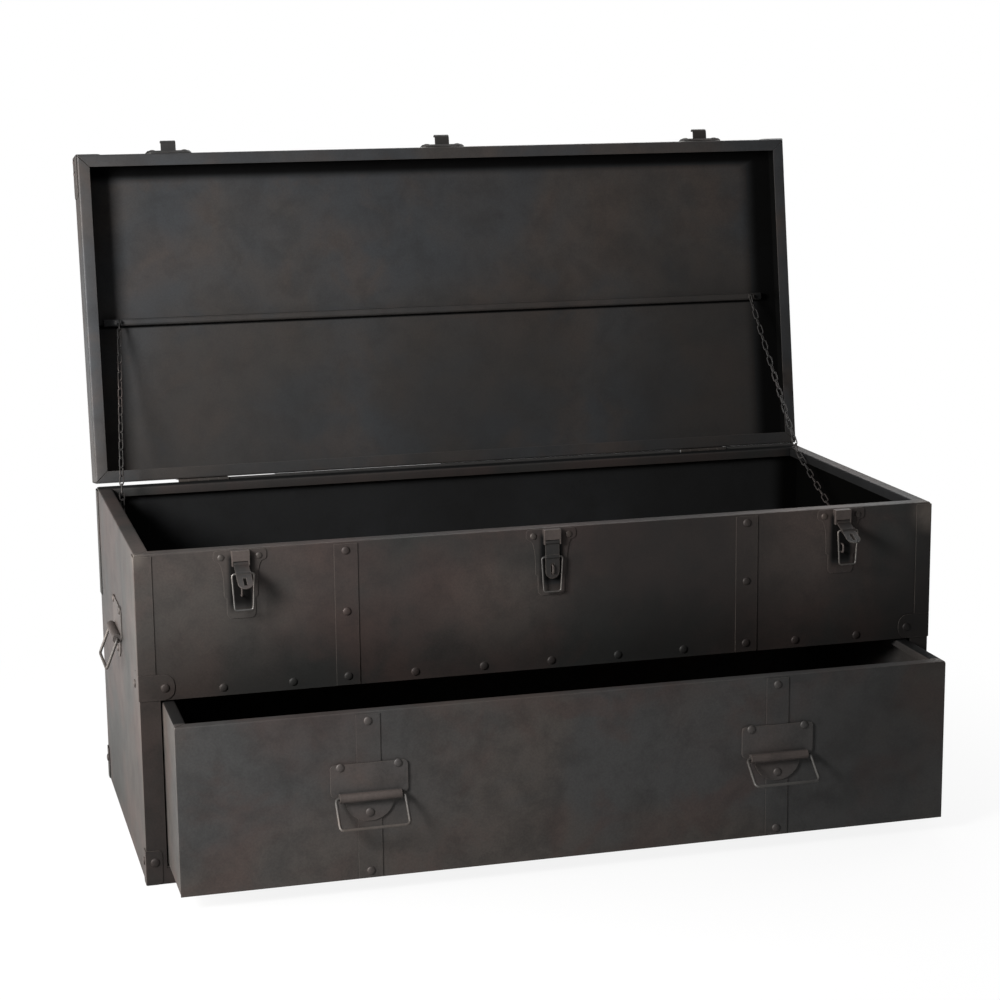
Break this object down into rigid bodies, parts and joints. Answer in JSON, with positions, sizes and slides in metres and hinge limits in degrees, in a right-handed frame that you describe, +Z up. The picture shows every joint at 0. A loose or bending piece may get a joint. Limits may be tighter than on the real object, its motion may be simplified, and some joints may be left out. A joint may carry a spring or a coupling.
{
  "type": "metal storage trunk",
  "caption": "Dark metal trunk with hinged lid held by stay chains, toggle latches, wire handles and a wide drawer below the upper compartment.",
  "frame": {"origin": "centre of the underside of the case, on the floor", "axes": "+X to the right along the long side, +Y to the back where the lid hinges are, +Z up; the front with the latches and the drawer faces -Y"},
  "size_m": [1.147, 0.775, 0.9326],
  "materials": {
    "shell": "satin dark gunmetal with a smoky brown and grey patina",
    "trim": "satin dark gunmetal, rubbed lighter on edges",
    "hardware": "satin dark steel, rubbed lighter on edges",
    "wire": "dark blackened wire, worn lighter"
  },
  "bodies": {
    "case": {"case_front": "shell", "case_back": "shell", "case_left_side": "shell", "case_right_side": "shell", "case_bottom": "shell", "compartment_floor": "shell", "corner_angle_front_left": "trim", "corner_angle_front_right": "trim", "corner_angle_back_left": "trim", "corner_angle_back_right": "trim", "corner_bracket_front_left": "trim", "corner_bracket_front_right": "trim", "foot_corner_front_left": "trim", "foot_corner_front_right": "trim", "foot_corner_back_left": "trim", "foot_corner_back_right": "trim", "front_strap_left": "trim", "front_strap_right": "trim", "latch_base_left": "hardware", "latch_base_centre": "hardware", "latch_base_right": "hardware", "end_handle_left_plate": "hardware", "end_handle_right_plate": "hardware", "drawer_runner_left": "shell", "drawer_runner_right": "shell", "hinge_case_leaf_left": "hardware", "hinge_case_leaf_right": "hardware"},
    "drawer": {"drawer_front": "shell", "drawer_back": "shell", "drawer_tray": "shell", "drawer_strap_left": "trim", "drawer_strap_right": "trim", "drawer_handle_left_plate": "hardware", "drawer_handle_right_plate": "hardware"},
    "lid": {"lid_cover": "shell", "lid_left_end": "shell", "lid_right_end": "shell", "lid_bar": "trim", "lid_keeper_left": "hardware", "lid_keeper_centre": "hardware", "lid_keeper_right": "hardware", "lid_corner_left": "trim", "lid_corner_right": "trim", "hinge_lid_leaf_left": "hardware", "hinge_lid_leaf_right": "hardware"},
    "latch_lever_left": {"latch_lever_left": "hardware"},
    "latch_bail_left": {"latch_bail_left": "wire"},
    "latch_lever_centre": {"latch_lever_centre": "hardware"},
    "latch_bail_centre": {"latch_bail_centre": "wire"},
    "latch_lever_right": {"latch_lever_right": "hardware"},
    "latch_bail_right": {"latch_bail_right": "wire"},
    "drawer_handle_left_grip": {"drawer_handle_left_grip": "wire"},
    "drawer_handle_right_grip": {"drawer_handle_right_grip": "wire"},
    "end_handle_left_grip": {"end_handle_left_grip": "wire"},
    "end_handle_right_grip": {"end_handle_right_grip": "wire"},
    "chain_upper_left": {"chain_upper_left": "wire"},
    "chain_lower_left": {"chain_lower_left": "wire"},
    "chain_upper_right": {"chain_upper_right": "wire"},
    "chain_lower_right": {"chain_lower_right": "wire"}
  },
  "joints": [
    {"name": "lid_hinge", "type": "hinge", "parent": "case", "child": "lid", "pos_m": [0, 0.2418, 0.4404], "axis": [-1, 0, 0], "range_deg": [-98.7, 0]},
    {"name": "drawer_slide", "type": "slide", "parent": "case", "child": "drawer", "axis": [0, -1, 0], "range_m": [-0.117, 0.2]},
    {"name": "latch_lever_left_pivot", "type": "hinge", "parent": "case", "child": "latch_lever_left", "pos_m": [-0.4145, -0.246, 0.4215], "axis": [-1, 0, 0], "range_deg": [-62, 48]},
    {"name": "latch_bail_left_pivot", "type": "hinge", "parent": "latch_lever_left", "child": "latch_bail_left", "pos_m": [-0.4145, -0.26366, 0.41211], "axis": [-1, 0, 0], "range_deg": [-48, 62]},
    {"name": "latch_lever_centre_pivot", "type": "hinge", "parent": "case", "child": "latch_lever_centre", "pos_m": [0, -0.246, 0.4215], "axis": [-1, 0, 0], "range_deg": [0, 110]},
    {"name": "latch_bail_centre_pivot", "type": "hinge", "parent": "latch_lever_centre", "child": "latch_bail_centre", "pos_m": [0, -0.246, 0.4015], "axis": [-1, 0, 0], "range_deg": [0, 75]},
    {"name": "latch_lever_right_pivot", "type": "hinge", "parent": "case", "child": "latch_lever_right", "pos_m": [0.4145, -0.246, 0.4215], "axis": [-1, 0, 0], "range_deg": [-66, 44]},
    {"name": "latch_bail_right_pivot", "type": "hinge", "parent": "latch_lever_right", "child": "latch_bail_right", "pos_m": [0.4145, -0.26427, 0.41337], "axis": [-1, 0, 0], "range_deg": [-44, 66]},
    {"name": "drawer_grip_left", "type": "hinge", "parent": "drawer", "child": "drawer_handle_left_grip", "pos_m": [-0.277, -0.3643, 0.1358], "axis": [-1, 0, 0], "range_deg": [-40.5, 64.5]},
    {"name": "drawer_grip_right", "type": "hinge", "parent": "drawer", "child": "drawer_handle_right_grip", "pos_m": [0.277, -0.3643, 0.1358], "axis": [-1, 0, 0], "range_deg": [-50, 55]},
    {"name": "end_grip_left", "type": "hinge", "parent": "case", "child": "end_handle_left_grip", "pos_m": [-0.5555, 0, 0.2815], "axis": [0, 1, 0], "range_deg": [-22, 83]},
    {"name": "end_grip_right", "type": "hinge", "parent": "case", "child": "end_handle_right_grip", "pos_m": [0.5555, 0, 0.2815], "axis": [0, -1, 0], "range_deg": [-22, 83]},
    {"name": "chain_upper_left_pivot", "type": "hinge", "parent": "lid", "child": "chain_upper_left", "pos_m": [-0.498, 0.3182, 0.66928], "axis": [1, 0, 0], "range_deg": [-24.4, 0]},
    {"name": "chain_lower_left_knee", "type": "hinge", "parent": "chain_upper_left", "child": "chain_lower_left", "pos_m": [-0.51982, 0.16691, 0.44272], "axis": [1, 0, 0], "range_deg": [-130.3, 0]},
    {"name": "chain_upper_right_pivot", "type": "hinge", "parent": "lid", "child": "chain_upper_right", "pos_m": [0.498, 0.3182, 0.66928], "axis": [1, 0, 0], "range_deg": [-24.4, 0]},
    {"name": "chain_lower_right_knee", "type": "hinge", "parent": "chain_upper_right", "child": "chain_lower_right", "pos_m": [0.51982, 0.16691, 0.44272], "axis": [1, 0, 0], "range_deg": [-130.3, 0]}
  ],
  "couplings": [
    {"joint": "latch_bail_left_pivot", "follows": "latch_lever_left_pivot", "ratio": -1},
    {"joint": "latch_bail_right_pivot", "follows": "latch_lever_right_pivot", "ratio": -1},
    {"joint": "chain_upper_left_pivot", "follows": "lid_hinge", "ratio": 0.24671},
    {"joint": "chain_lower_left_knee", "follows": "lid_hinge", "ratio": 1.3193},
    {"joint": "chain_upper_right_pivot", "follows": "lid_hinge", "ratio": 0.24671},
    {"joint": "chain_lower_right_knee", "follows": "lid_hinge", "ratio": 1.3193}
  ]
}
